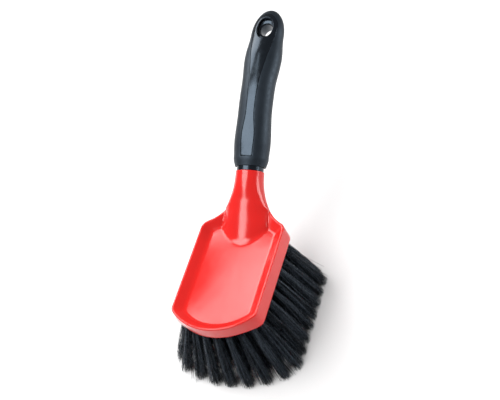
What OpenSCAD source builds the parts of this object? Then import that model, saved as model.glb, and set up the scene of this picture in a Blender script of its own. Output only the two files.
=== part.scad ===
// Wheel brush: a dished head on a raised, arched handle, with fanned filament tufts below it.
// +X runs from the head towards the handle's end, +Y is the brush's right side, +Z is up.
// The tufts' trimmed tips stand on Z = 0, and the origin is under the middle of the outer box.

/* [Head] */
// Width of the head
head_w = 79; // [64:1:96]
// Distance from the front of the head to the end of its straight sides
head_side_end = 106.5; // [84:0.5:130]
// Radius of the bowed front edge
front_r = 51.5; // [49:0.5:64]
// Radius of the two front corners
corner_r = 8; // [5:0.5:12]
// Radius of the two shoulders
shoulder_r = 9; // [6:0.5:14]
// Turn of each shoulder towards the neck, in degrees
shoulder_turn = 60; // [50:1:65]
// Height of the outer wall
head_h = 16; // [14:0.5:20]
// Distance that the block runs on behind the straight sides, under the neck
block_tail = 17; // [14:0.5:22]

/* [Dish] */
// Thickness of the rim around the dish
rim_t = 2; // [1.5:0.25:3]
// Width of the sloping inner wall, seen from above
wall_run = 6.5; // [4:0.5:9]
// Depth of the dish at the foot of its wall
dish_depth = 5.5; // [4:0.25:6.5]
// Extra depth in the middle of the dish floor
floor_dip = 1.2; // [0.5:0.1:2]

/* [Neck] */
// Diameter of the neck where it meets the collar
neck_d = 25.6; // [21:0.1:31]
// Straight length of the neck after the shoulders' sweep
neck_straight = 2.5; // [2:0.5:12]
// Height of the neck's end centre above the rim
neck_rise = 19; // [17:0.5:28]
// Slope of the neck, in degrees
neck_tilt = 31; // [26:1:36]
// Width of the neck where it runs out on the dish floor
neck_base_w = 42; // [34:1:46]

/* [Handle] */
// Length of the handle from the neck's end to its tip
handle_len = 154; // [126:1:186]
// Straight length before the handle starts to bend
bend_start = 45; // [36:1:54]
// Length of the bent stretch
bend_len = 40; // [30:1:48]
// How far the upper handle bends down, in degrees
bend_turn = 13; // [6:1:18]
// Width of the grip at its lower swell
grip_w = 33.4; // [28:0.2:40]
// Thickness of the grip at its lower swell
grip_h = 27; // [24:0.2:32]
// Thickness of the soft skin
skin_t = 2.4; // [1.8:0.2:3]
// Width of the hard panel at its widest in the lower grip
panel_w = 12.6; // [10.4:0.2:15]

/* [Joint and hang hole] */
// Diameter of the spigot in the neck
spigot_d = 14; // [11.6:0.2:15.2]
// Length of the spigot in the neck
spigot_len = 37; // [28:1:40]
// Diameter of the collar
collar_d = 24; // [20:0.2:25]
// Length of the collar that shows
collar_len = 4.2; // [3:0.2:7]
// Width of the key on the spigot
key_w = 3; // [2:0.25:4]
// Height of the key above the spigot
key_rise = 1.2; // [0.8:0.1:1.6]
// Length of the key
key_len = 24; // [14:1:28]
// Radial clearance of the spigot in its socket
spigot_gap = 0.1; // [0.05:0.01:0.2]
// Diameter of the hang hole
hang_d = 12.6; // [10:0.2:15]
// Distance from the hang hole's centre to the handle's tip
hang_back = 21.5; // [19:0.5:26]

/* [Bristles] */
// Height of the tufts below the head
tuft_h = 60; // [45:1:75]
// Diameter of a tuft at its root
tuft_root_d = 4.8; // [4:0.1:5.6]
// Diameter of a tuft at its trimmed tip
tuft_tip_d = 7.6; // [6:0.1:8.4]
// Depth of a tuft hole along its axis
hole_depth = 7; // [5:0.25:7.5]
// Radial clearance of a tuft in its hole
tuft_gap = 0.1; // [0.05:0.01:0.2]
// Distance from tuft to tuft along a ring
tuft_pitch = 10.5; // [9.8:0.1:13]
// Distance from the head's edge to the outer ring
edge_inset = 7; // [5.5:0.25:9]
// Outward lean of the side tufts, in degrees
lean_side = 22; // [10:1:28]
// Forward lean of the front tufts, in degrees
lean_front = 13; // [4:1:18]
// Rearward lean of the rear tufts, in degrees
lean_rear = 6; // [0:1:14]
// Thickness of an anchor staple
staple_t = 0.5; // [0.4:0.05:0.7]
// Height of an anchor staple
staple_h = 2.2; // [1.6:0.1:2.6]
// Bite of each staple end in the head
staple_bite = 0.8; // [0.5:0.1:1.1]

/* [Hidden] */

$fn = 48;
eps = 0.01;
big = 400;

// Head outline, with X = 0 at the front of the head and Z = 0 at the rim
half_w = head_w / 2;
neck_r = neck_d / 2;
sweep_run = (half_w - neck_r) / (1 - cos(shoulder_turn));
sweep_r = sweep_run - shoulder_r;
sweep_end_x = head_side_end + sweep_run * sin(shoulder_turn);
block_end_x = head_side_end + block_tail;
shoulder_dist = sin(shoulder_turn) * (head_side_end + shoulder_r * sin(shoulder_turn))
  + cos(shoulder_turn) * (half_w - shoulder_r * (1 - cos(shoulder_turn)));
arc_steps = 10;
sides = 32;

// Neck and handle centreline
neck_end_x = sweep_end_x + neck_straight;
bend_r = bend_len / (bend_turn * PI / 180);
upper_tilt = neck_tilt - bend_turn;
bend_from = along([neck_end_x, neck_rise], neck_tilt, bend_start);
bend_to = bend_from + bend_r * [sin(neck_tilt) - sin(upper_tilt), cos(upper_tilt) - cos(neck_tilt)];
hang_s = handle_len - hang_back;
tip_s = handle_len - 26;

// Where the outer box ends, for the origin
ring_gap = (half_w - edge_inset) / 3;
front_reach = tuft_h * tan(lean_front) + tuft_tip_d / 2 - edge_inset;
tip_x = centre_at(handle_len)[0];
mid_x = (tip_x - front_reach) / 2;
stand_h = head_h + tuft_h;

// Sides of a ring, in the order of its tufts
SIDES = ["front", "left", "right", "rear"];

function along(p, tilt, d) = p + d * [cos(tilt), sin(tilt)];
function mirrored(pts) = [for (p = pts) [p[0], -p[1]]];
function reversed(list) = [for (i = [len(list) - 1:-1:0]) list[i]];
function smooth(t) = t * t * (3 - 2 * t);

// Points on an arc, both ends included
function arc(c, r, a0, a1, n = arc_steps) =
  [for (i = [0:n]) c + r * [cos(a0 + (a1 - a0) * i / n), sin(a0 + (a1 - a0) * i / n)]];

// Front edge and side of an outline that lies inset from the head's edge, corners of radius r
function front_half(inset, r) =
  let (
    cy = half_w - inset - r,
    cx = front_r - sqrt(pow(front_r - inset - r, 2) - cy * cy),
    turn = atan2(cy, cx - front_r)
  )
  concat(arc([front_r, 0], front_r - inset, 180, turn), arc([cx, cy], r, turn, 90));

// Full outline from its half on the +Y side
function closed(half) = concat(half, reversed(mirrored(half)));

// Shoulder and sweep of the head's edge, up to the block's end
function rear_half() =
  let (
    stop = asin((sweep_end_x - block_end_x) / sweep_r),
    c = [sweep_end_x, neck_r + sweep_r]
  )
  concat(
    arc([head_side_end, half_w - shoulder_r], shoulder_r, 90, 90 - shoulder_turn),
    arc(c, sweep_r, 270 - shoulder_turn, 270 - stop)
  );

// Where the shoulder line, moved in by inset, meets the side line and a line across at x
function shoulder_corner(inset) =
  let (y = half_w - inset)
  [(shoulder_dist - inset - cos(shoulder_turn) * y) / sin(shoulder_turn), y];
function shoulder_y(inset, x) =
  max((shoulder_dist - inset - sin(shoulder_turn) * x) / cos(shoulder_turn), tuft_pitch / 2);

// Half width of the neck, seen from above, at x
function neck_half(x) =
  min(neck_base_w / 2,
    neck_r + (x < sweep_end_x
      ? sweep_r - sqrt(max(sweep_r * sweep_r - pow(sweep_end_x - x, 2), 0))
      : 0));

// Handle centreline: point [x, z] and slope at distance s from the neck's end
function tilt_at(s) =
  neck_tilt - bend_turn * min(max((s - bend_start) / bend_len, 0), 1);
function centre_at(s) =
  s < bend_start ? along([neck_end_x, neck_rise], neck_tilt, s)
  : s < bend_start + bend_len
    ? bend_from + bend_r * [sin(neck_tilt) - sin(tilt_at(s)), cos(tilt_at(s)) - cos(neck_tilt)]
  : along(bend_to, upper_tilt, s - bend_start - bend_len);

// Grip swells: share of the length before the rounded tip, share of width, share of thickness
SWELLS = [
  [0.02, 0.84, 0.88], [0.09, 0.96, 0.96], [0.2, 1, 1], [0.42, 0.93, 0.92],
  [0.6, 0.93, 0.93], [0.82, 1.04, 0.92], [1, 0.93, 0.78], [1.3, 0.93, 0.78]
];
function swell(t, k, i = 0) =
  i >= len(SWELLS) - 2 || t < SWELLS[i + 1][0]
    ? let (a = SWELLS[i], b = SWELLS[i + 1])
      a[k] + (b[k] - a[k]) * smooth(min(max((t - a[0]) / (b[0] - a[0]), 0), 1))
    : swell(t, k, i + 1);
function tip_round(s, end) =
  s < tip_s ? 1 : sqrt(max(1 - pow((s - tip_s) / (end - tip_s), 2), 0));
function grip_half_w(s, end = handle_len) = swell(s / tip_s, 1) * grip_w / 2 * tip_round(s, end);
function grip_half_h(s, end = handle_len) = swell(s / tip_s, 2) * grip_h / 2 * tip_round(s, end);

// Stations along the handle, closer together over the rounded tip, the first one moved back by early
function stations(end, early = 0) = concat(
  [for (i = [0:22]) collar_len + (i == 0 ? -early : (tip_s - collar_len) * i / 22)],
  [for (a = [12:12:84]) tip_s + (end - tip_s) * sin(a)]
);

handle_bands = len(stations(handle_len)) - 1;

// Half width of the hard panel at s: a lower swell, a waist, and a broad eye around the hang hole
function panel_half(s) =
  let (
    lower = hang_s * 0.23,
    waist = hang_s * 0.4
  )
  panel_w * (
    s < lower ? 0.44 + 0.06 * smooth(max((s - panel_from) / (lower - panel_from), 0))
    : s < waist ? 0.5 - 0.18 * smooth((s - lower) / (waist - lower))
    : s < hang_s ? 0.32 + 0.6 * sin(90 * pow((s - waist) / (hang_s - waist), 2.2))
    : 0.92 * sqrt(max(1 - pow((s - hang_s) / (panel_to - hang_s), 2), 0))
  );
panel_from = collar_len + 8;
panel_to = hang_s + (handle_len - hang_s) * 0.7;
panel_gap = 0.1;
// Gap that stands for the skin's bond to the core
bond = 0.05;
panel_sink = 0.2;
boss_d = hang_d + 5;
// Longer mouth of the hang hole, and its floor's height above the centreline
mouth_w = hang_d + 2.4;
mouth_run = 3.1;
mouth_floor = grip_half_h(hang_s) / 2;

// Lean of a tuft as its slopes along X and Y, from where it is rooted
function lean(p) =
  let (
    mid = (head_side_end + block_tail) / 2,
    u = (p[0] - mid) / mid,
    v = p[1] / half_w,
    ease = 0.6 + 0.4 * min(p[0] / (0.4 * mid), 1)
  )
  [u * (u < 0 ? tan(lean_front) : tan(lean_rear)), v * ease * tan(lean_side) * 1.15];

// Tuft roots, evenly spaced on a line or an arc
function on_line(a, b) =
  let (n = max(round(norm(b - a) / tuft_pitch), 1))
  [for (i = [0:n - 1]) a + (b - a) * (i + 0.5) / n];
function on_front(inset) =
  let (
    r = front_r - inset,
    reach = asin(min((half_w - inset) / r, 1)),
    n = max(round(2 * reach * PI / 180 * r / tuft_pitch), 1)
  )
  [for (i = [0:n - 1]) let (a = 180 - reach + 2 * reach * (i + 0.5) / n)
    [front_r + r * cos(a), r * sin(a)]];
// Where a side's line of tufts stops: at the shoulder, or at the rear line if that comes first
function side_stop(inset) =
  let (corner = shoulder_corner(inset))
  [min(corner[0], block_end_x - inset), corner[1]];
function on_side(inset) =
  let (y = half_w - inset, r = front_r - inset)
  on_line([front_r - sqrt(max(r * r - y * y, 0)), y], side_stop(inset));
function on_rear(inset) =
  let (x = block_end_x - inset, a = side_stop(inset), b = [x, min(shoulder_y(inset, x), a[1])],
    shoulder = norm(b - a) > tuft_pitch * 0.6 ? on_line(a, b) : [])
  concat(shoulder, on_line(b, [x, -b[1]]), mirrored(shoulder));
function ring_roots(ring, side) =
  let (inset = edge_inset + ring * ring_gap)
  side == "front" ? on_front(inset)
  : side == "right" ? on_side(inset)
  : side == "left" ? mirrored(on_side(inset))
  : on_rear(inset);
function centre_roots() =
  let (inset = edge_inset + 3 * ring_gap)
  on_line([inset, 0], [block_end_x - inset, 0]);
function all_roots() = concat(
  [for (ring = [0:2]) each [for (side = SIDES) each ring_roots(ring, side)]],
  centre_roots()
);

// From the head's own frame to the part's frame
module placed() translate([-mid_x, 0, stand_h]) children();

// +Z turned onto a tuft's axis, pointing down out of its root
module at_root(p) {
  slope = lean(p);
  translate([p[0], p[1], -head_h])
    rotate([0, 0, atan2(slope[1], slope[0])])
      rotate([0, 180 - atan(norm(slope)), 0])
        children();
}

// +Z turned along the handle's centreline at s
module at_handle(s) {
  c = centre_at(s);
  translate([c[0], 0, c[1]]) rotate([0, 90 - tilt_at(s), 0]) children();
}

module block() {
  translate([0, 0, -head_h])
    linear_extrude(height = head_h)
      polygon(closed(concat(front_half(0, corner_r), rear_half())));
}

// Everything that is taken out of the block to leave the dish
module dish() {
  foot = rim_t + wall_run;
  rear = block_end_x - rim_t;
  rim_corner = shoulder_corner(rim_t);
  foot_corner = shoulder_corner(foot);
  hull() {
    translate([0, 0, -eps]) linear_extrude(height = 2)
      polygon(closed(concat(front_half(rim_t, corner_r - 1),
        [rim_corner, [rear, shoulder_y(rim_t, rear)]])));
    translate([0, 0, -dish_depth]) linear_extrude(height = eps)
      polygon(closed(concat(front_half(foot, corner_r - 1),
        [foot_corner, [rear - wall_run * 1.6, shoulder_y(foot, rear - wall_run * 1.6)]])));
  }
  bowl = half_w - foot - 1;
  bowl_r = (bowl * bowl + floor_dip * floor_dip) / (2 * floor_dip);
  dip_turn = asin(bowl / bowl_r);
  translate([head_side_end * 0.52, 0, -dish_depth])
    rotate_extrude($fn = 64)
      polygon(concat(
        arc([0, bowl_r - floor_dip], bowl_r, 270, 270 + dip_turn, 6),
        [[bowl, 1], [0, 1]]
      ));
}

// Neck swept back from its end, widening and flattening until it runs out under the dish floor
module neck() {
  steps = 10;
  run = (neck_rise + head_h - 3) / sin(neck_tilt);
  points = [for (i = [0:steps]) let (
      s = run * i / steps,
      c = along([neck_end_x, neck_rise], neck_tilt, -s),
      w = neck_half(c[0]),
      upper = neck_r * (1 - 0.38 * i / steps),
      lower = min(neck_r, (c[1] + head_h - 2) / cos(neck_tilt)))
    for (k = [0:sides - 1]) let (a = 360 * k / sides, h = (sin(a) > 0 ? upper : lower) * sin(a))
      [c[0] - h * sin(neck_tilt), w * cos(a), c[1] + h * cos(neck_tilt)]];
  polyhedron(
    points = points,
    faces = flipped(concat([[for (k = [0:sides - 1]) k]], skin(0, steps), end_cap(0, steps))),
    convexity = 4);
}

module socket() {
  at_handle(-spigot_len - 0.5) cylinder(d = spigot_d + 2 * spigot_gap, h = spigot_len + 2);
  key(spigot_gap, 1);
}

// Key that stops the handle turning in its socket, as far as open beyond the neck's end
module key(gap, open) {
  at_handle(-key_len - gap)
    translate([0, -key_w / 2 - gap, 0])
      cube([spigot_d / 2 + key_rise + gap, key_w + 2 * gap, key_len + gap + open]);
}

module tuft_hole(p) {
  at_root(p) {
    translate([0, 0, -hole_depth]) cylinder(d = tuft_root_d + 2 * tuft_gap, h = hole_depth + 2, $fn = 24);
    staple_plate(0.05);
  }
}

module staple_plate(gap) {
  translate([0, 0, -hole_depth + 0.6 + staple_h / 2])
    cube([staple_t + 2 * gap, tuft_root_d + 2 * staple_bite + 2 * gap, staple_h + 2 * gap], center = true);
}

module tuft(p) {
  slope = lean(p);
  length = (tuft_h + tuft_tip_d) * norm([slope[0], slope[1], 1]);
  difference() {
    at_root(p) difference() {
      union() {
        translate([0, 0, 0.1 - hole_depth]) cylinder(d = tuft_root_d, h = hole_depth, $fn = 24);
        translate([0, 0, 0.1])
          cylinder(d1 = tuft_root_d, d2 = tuft_tip_d * 1.05, h = length, $fn = 24);
      }
      staple_plate(0.05);
    }
    translate([p[0], p[1], -stand_h - big / 2]) cube(big, center = true);
  }
}

// Points of a surface swept along the handle, inset from the grip's surface
function handle_points(inset, end, early = 0) = [
  for (s = stations(end, early)) let (
      c = centre_at(s), t = tilt_at(s),
      w = max(grip_half_w(s, end) - inset, 0.4),
      h = max(grip_half_h(s, end) - inset, 0.4))
    for (k = [0:sides - 1]) let (a = 360 * k / sides)
      [c[0] - h * sin(a) * sin(t), w * cos(a), c[1] + h * sin(a) * cos(t)]
];
// Triangles between row i and the next, of the surface whose points start at first
function band(i, first) = [
  for (k = [0:sides - 1]) let (a = first + i * sides + k, b = first + i * sides + (k + 1) % sides)
    each [[a, a + sides, b + sides], [a, b + sides, b]]
];
function skin(first, bands) = [for (i = [0:bands - 1]) each band(i, first)];
function flipped(faces) = [for (f = faces) reversed(f)];
function end_cap(first, bands) = [[for (k = [sides - 1:-1:0]) first + bands * sides + k]];

// Solid under the skin, which starts inside the collar
module handle_solid(inset, end) {
  polyhedron(
    points = handle_points(inset, end, 1),
    faces = concat([[for (k = [0:sides - 1]) k]], skin(0, handle_bands), end_cap(0, handle_bands)),
    convexity = 4);
}

// Hollow skin over the core, open at its lower end
module handle_shell() {
  inner = (handle_bands + 1) * sides;
  polyhedron(
    points = concat(handle_points(0, handle_len), handle_points(skin_t - bond, handle_len - skin_t)),
    faces = concat(
      skin(0, handle_bands), end_cap(0, handle_bands),
      flipped(skin(inner, handle_bands)), flipped(end_cap(inner, handle_bands)),
      [for (k = [0:sides - 1]) let (n = (k + 1) % sides)
        each [[k, n, inner + n], [k, inner + n, inner + k]]]
    ),
    convexity = 6);
}

// Rib swept over the panel's length, up to the grip's surface less sink, its sides moved out by grow
module panel_rib(grow, sink) {
  across = 6;
  ring = across + 3;
  steps = 24;
  points = [for (i = [0:steps]) let (
      s = panel_from - grow + (panel_to + 2 * grow - panel_from) * sin(90 * i / steps),
      c = centre_at(s), t = tilt_at(s),
      half = max(panel_half(s), 0.2) + grow,
      w = grip_half_w(s), h = grip_half_h(s),
      section = concat(
        [[half, h * 0.3], [-half, h * 0.3]],
        [for (k = [0:across]) let (y = half * (2 * k / across - 1))
          [y, h * sqrt(1 - pow(y / w, 2)) - sink]]
      ))
    for (q = section) [c[0] - q[1] * sin(t), q[0], c[1] + q[1] * cos(t)]];
  polyhedron(
    points = points,
    faces = concat(
      [[for (k = [ring - 1:-1:0]) k]],
      [for (i = [0:steps - 1]) for (k = [0:ring - 1]) let (
          a = i * ring + k, b = i * ring + (k + 1) % ring)
        each [[a, b + ring, a + ring], [a, b, b + ring]]],
      [[for (k = [0:ring - 1]) steps * ring + k]]
    ),
    convexity = 6);
}

// Cylinder across the handle at the hang hole, from above its axis to below it
module across_hang(d, above, below) {
  at_handle(hang_s) rotate([0, 90, 0]) translate([0, 0, -above]) cylinder(d = d, h = above + below);
}

module hang_mouth() {
  at_handle(hang_s) {
    for (k = [-mouth_run, mouth_run])
      translate([-mouth_floor, 0, k]) rotate([0, -90, 0]) cylinder(d = mouth_w, h = grip_h);
    translate([-mouth_floor - grip_h, -mouth_w / 2, -mouth_run]) cube([grip_h, mouth_w, 2 * mouth_run]);
  }
}

module head_body() color("#e8232b") placed() {
  difference() {
    union() {
      difference() {
        block();
        dish();
      }
      neck();
    }
    socket();
    for (p = all_roots()) tuft_hole(p);
  }
}

module handle_core() color("#16181c") placed() {
  difference() {
    union() {
      at_handle(-spigot_len) cylinder(d = spigot_d, h = spigot_len + collar_len + 6);
      key(0, 0);
      at_handle(0) cylinder(d = collar_d, h = collar_len);
      handle_solid(skin_t, handle_len - skin_t);
      panel_rib(0, panel_sink);
      across_hang(boss_d, 0, grip_half_h(hang_s) * 0.78);
    }
    across_hang(hang_d, grip_h, grip_h);
    hang_mouth();
  }
}

module grip_sleeve() color("#23272e") placed() {
  difference() {
    handle_shell();
    panel_rib(panel_gap, -3);
    across_hang(boss_d + 2 * panel_gap, 0, grip_h);
  }
}

module tufts(roots) color("#101216") placed() for (p = roots) tuft(p);

module staples(roots) color("#b9bcc0") placed() for (p = roots) at_root(p) staple_plate(0);

module ring_group(ring, side, part) {
  roots = ring_roots(ring, side);
  if (part == "tufts") tufts(roots);
  else staples(roots);
}

head_body();
handle_core();
grip_sleeve();
ring_group(0, "front", "tufts");  // tufts_outer_front
ring_group(0, "left", "tufts");  // tufts_outer_left
ring_group(0, "right", "tufts");  // tufts_outer_right
ring_group(0, "rear", "tufts");  // tufts_outer_rear
ring_group(1, "front", "tufts");  // tufts_middle_front
ring_group(1, "left", "tufts");  // tufts_middle_left
ring_group(1, "right", "tufts");  // tufts_middle_right
ring_group(1, "rear", "tufts");  // tufts_middle_rear
ring_group(2, "front", "tufts");  // tufts_inner_front
ring_group(2, "left", "tufts");  // tufts_inner_left
ring_group(2, "right", "tufts");  // tufts_inner_right
ring_group(2, "rear", "tufts");  // tufts_inner_rear
tufts(centre_roots());  // tufts_centre_row
ring_group(0, "front", "staples");  // staples_outer_front
ring_group(0, "left", "staples");  // staples_outer_left
ring_group(0, "right", "staples");  // staples_outer_right
ring_group(0, "rear", "staples");  // staples_outer_rear
ring_group(1, "front", "staples");  // staples_middle_front
ring_group(1, "left", "staples");  // staples_middle_left
ring_group(1, "right", "staples");  // staples_middle_right
ring_group(1, "rear", "staples");  // staples_middle_rear
ring_group(2, "front", "staples");  // staples_inner_front
ring_group(2, "left", "staples");  // staples_inner_left
ring_group(2, "right", "staples");  // staples_inner_right
ring_group(2, "rear", "staples");  // staples_inner_rear
staples(centre_roots());  // staples_centre_row
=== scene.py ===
"""Visual model of a wheel brush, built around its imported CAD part."""

import math
import random

import bpy
from mathutils import Matrix, Vector


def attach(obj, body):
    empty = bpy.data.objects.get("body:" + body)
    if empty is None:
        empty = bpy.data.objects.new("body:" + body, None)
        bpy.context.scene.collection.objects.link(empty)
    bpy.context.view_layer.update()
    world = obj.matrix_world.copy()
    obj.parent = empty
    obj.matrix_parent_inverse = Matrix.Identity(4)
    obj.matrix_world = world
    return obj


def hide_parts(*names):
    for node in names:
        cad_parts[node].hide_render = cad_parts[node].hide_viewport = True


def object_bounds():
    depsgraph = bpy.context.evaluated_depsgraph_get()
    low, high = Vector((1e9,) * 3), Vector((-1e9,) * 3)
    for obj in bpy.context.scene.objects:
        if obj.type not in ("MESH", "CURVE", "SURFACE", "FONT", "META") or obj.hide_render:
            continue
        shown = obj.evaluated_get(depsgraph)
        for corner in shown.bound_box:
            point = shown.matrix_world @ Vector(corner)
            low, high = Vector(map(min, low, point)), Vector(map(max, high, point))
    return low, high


bl_info = {
    "name": "Wheel brush",
    "version": (1, 0, 0),
    "blender": (4, 5, 0),
    "location": "3D View > Sidebar > Wheel brush",
    "description": "Builds a wheel brush's head, handle, bristles and stage around its CAD frame",
    "category": "Object",
}

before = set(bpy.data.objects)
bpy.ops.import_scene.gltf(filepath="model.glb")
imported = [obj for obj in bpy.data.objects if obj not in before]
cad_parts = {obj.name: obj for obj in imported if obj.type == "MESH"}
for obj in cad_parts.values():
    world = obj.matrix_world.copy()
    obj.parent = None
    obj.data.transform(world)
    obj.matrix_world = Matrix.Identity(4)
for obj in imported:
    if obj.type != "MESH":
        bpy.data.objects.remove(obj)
CAD_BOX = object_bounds()

MM = 0.001
EYE = 0.92
RINGS = ("outer", "middle", "inner")
SIDES = ("front", "left", "right", "rear")
# painted reflection colour: a bluish specular tint for the black parts, standing in for a cool cast of
# the light in their reflections
PAINTED_COOL_REFLECTION_TINT = (0.62, 0.8, 1.0, 1.0)
ROUND_SIDES = 96
WORLD_STRENGTH = 0.28
LIGHT_TARGET = Vector((0.0, 0.0, 0.09))
# name, place, size and power of each soft light
LIGHTS = (
    ("softbox_top", (-0.3, 0.42, 1.15), (0.9, 0.7), 15.0),
    ("softbox_far", (0.53, 0.91, 0.88), (0.7, 0.8), 11.0),
    ("softbox_right", (0.4, -1.05, 0.32), (0.6, 0.5), 6.5),
)
# the camera's right, up and back axes, and its place along them from the head
CAMERA_AXES = (
    Vector((0.2660, -0.9203, -0.2869)),
    Vector((0.7738, 0.0264, 0.6329)),
    Vector((-0.5749, -0.3903, 0.7191)),
)
CAMERA_FROM = Vector((-0.126055, 0.0, 0.076))
CAMERA_OFFSET = (0.03135, 0.09467, 1.1)
SENSOR_WIDTH = 36
FOCAL_SHARE = 1320 / 500


def millimetres(name, description, default):
    return bpy.props.FloatProperty(
        name=name, description=description, default=default * MM, min=0.0, unit="LENGTH", precision=5
    )


def degrees(name, description, default):
    return bpy.props.FloatProperty(
        name=name, description=description, default=math.radians(default), subtype="ANGLE"
    )


def colour(name, description, default):
    return bpy.props.StringProperty(name=name, description=description, default=default)


class BrushHeadSizes(bpy.types.PropertyGroup):
    """Sizes of the dished head and its neck"""

    width: millimetres("Width", "Width of the head at its rim", 79)
    side_end: millimetres("Side end", "Distance from the front to the end of the straight sides", 106.5)
    front_radius: millimetres("Front radius", "Radius of the bowed front edge", 51.5)
    corner_radius: millimetres("Corner radius", "Radius of the two front corners", 8)
    shoulder_radius: millimetres("Shoulder radius", "Radius of the two shoulders", 9)
    shoulder_turn: degrees("Shoulder turn", "Turn of each shoulder towards the neck", 60)
    height: millimetres("Height", "Height of the outer wall", 16)
    flare: millimetres("Flare", "How far the side wall leans out at its foot", 1.4)
    tuck: millimetres("Tuck", "How far the front wall leans in at its foot", 2.4)
    rim: millimetres("Rim", "Thickness of the rim around the dish", 2)
    rim_round: millimetres("Rim rounding", "Radius of the rim's outer edge", 0.9)
    wall_run: millimetres("Wall run", "Width of the sloping inner wall, seen from above", 7)
    dish_depth: millimetres("Dish depth", "Depth of the dish at the foot of its wall", 5.5)
    floor_dip: millimetres("Floor dip", "Extra depth in the middle of the dish floor", 1.5)
    neck_radius: millimetres("Neck radius", "Radius of the neck at its end", 12.8)
    neck_straight: millimetres("Neck straight", "Straight length of the neck after the sweep", 2.5)
    neck_rise: millimetres("Neck rise", "Height of the neck's end centre above the rim", 19)
    neck_tilt: degrees("Neck tilt", "Slope of the neck", 31)
    tongue_start: millimetres("Tongue start", "Distance from the front to the neck's foot", 95)
    tongue_half: millimetres("Tongue half width", "Half width of the neck at its foot", 21)


class BrushHandleSizes(bpy.types.PropertyGroup):
    """Sizes of the grip, its hard core, panel and hang hole"""

    length: millimetres("Length", "Length of the handle from the neck's end to its tip", 154)
    bend_start: millimetres("Bend start", "Straight length before the handle bends", 45)
    bend_length: millimetres("Bend length", "Length of the bent stretch", 40)
    bend_turn: degrees("Bend turn", "How far the upper handle bends down", 13)
    grip_width: millimetres("Grip width", "Width of the grip at its lower swell", 33.4)
    grip_height: millimetres("Grip height", "Thickness of the grip at its lower swell", 27)
    skin: millimetres("Skin", "Thickness of the soft skin", 2.4)
    panel_width: millimetres("Panel width", "Width of the hard panel in the lower grip", 12.6)
    groove: millimetres("Groove", "Width of the groove around the panel", 0.5)
    collar_radius: millimetres("Collar radius", "Radius of the collar", 12)
    collar_length: millimetres("Collar length", "Length of the collar that shows", 4.2)
    spigot_radius: millimetres("Spigot radius", "Radius of the spigot in the neck", 7)
    spigot_length: millimetres("Spigot length", "Length of the spigot in the neck", 37)
    hang_back: millimetres("Hang back", "Distance from the hang hole's centre to the tip", 21.5)
    hang_radius: millimetres("Hang radius", "Radius of the hang hole", 6.3)
    mouth_half_width: millimetres("Mouth half width", "Half width of the hang hole's mouth", 7.5)
    mouth_half_length: millimetres("Mouth half length", "Half length of the hang hole's mouth", 10.6)
    boss_radius: millimetres("Boss radius", "Radius of the tube around the hang hole", 8.8)


class BrushBristleSizes(bpy.types.PropertyGroup):
    """Sizes and counts of the filament tufts"""

    length: millimetres("Length", "Height of the tufts below the head", 60)
    root_radius: millimetres("Root radius", "Radius of a tuft at its root", 2.3)
    tip_radius: millimetres("Tip radius", "Radius of a tuft at its tip", 4.7)
    pitch: millimetres("Pitch", "Distance from tuft to tuft along a ring", 10.5)
    inset: millimetres("Inset", "Distance from the head's edge to the outer ring", 7)
    filament: millimetres("Filament radius", "Radius of one filament", 0.15)
    lean_side: degrees("Side lean", "Outward lean of the side tufts", 22)
    lean_front: degrees("Front lean", "Forward lean of the front tufts", 13)
    lean_rear: degrees("Rear lean", "Rearward lean of the rear tufts", 6)
    block_tail: millimetres("Block tail", "Distance that the block runs on behind the sides", 17)
    count: bpy.props.IntProperty(
        name="Filaments", description="Filaments in one tuft", default=230, min=10
    )
    stray: bpy.props.FloatProperty(
        name="Strays", description="Share of the filaments that stand out from their tuft", default=0.07
    )
    seed: bpy.props.IntProperty(name="Seed", description="Seed of the filaments' spread", default=7)


class BrushColours(bpy.types.PropertyGroup):
    """Colours of the brush and its stage, as sRGB hex values"""

    head: colour("Head", "Red of the moulded head", "#D91F1B")
    core: colour("Core", "Black of the hard core", "#0A0C10")
    grip: colour("Grip", "Grey-black of the soft skin", "#12161B")
    bristle: colour("Bristle", "Black of the filaments", "#0B0D11")
    staple: colour("Staple", "Grey of the anchor wire", "#B9BCC0")
    floor: colour("Floor", "Pale grey of the studio floor", "#F4F4F4")


# ---------------------------------------------------------------- materials


def linear(hex_colour):
    """A scene-linear colour from an sRGB hex value"""
    values = [int(hex_colour[i : i + 2], 16) / 255 for i in (1, 3, 5)]
    return [v / 12.92 if v <= 0.04045 else ((v + 0.055) / 1.055) ** 2.4 for v in values] + [1.0]


def scaled(rgba, factor):
    return [min(c * factor, 1.0) for c in rgba[:3]] + [1.0]


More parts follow.
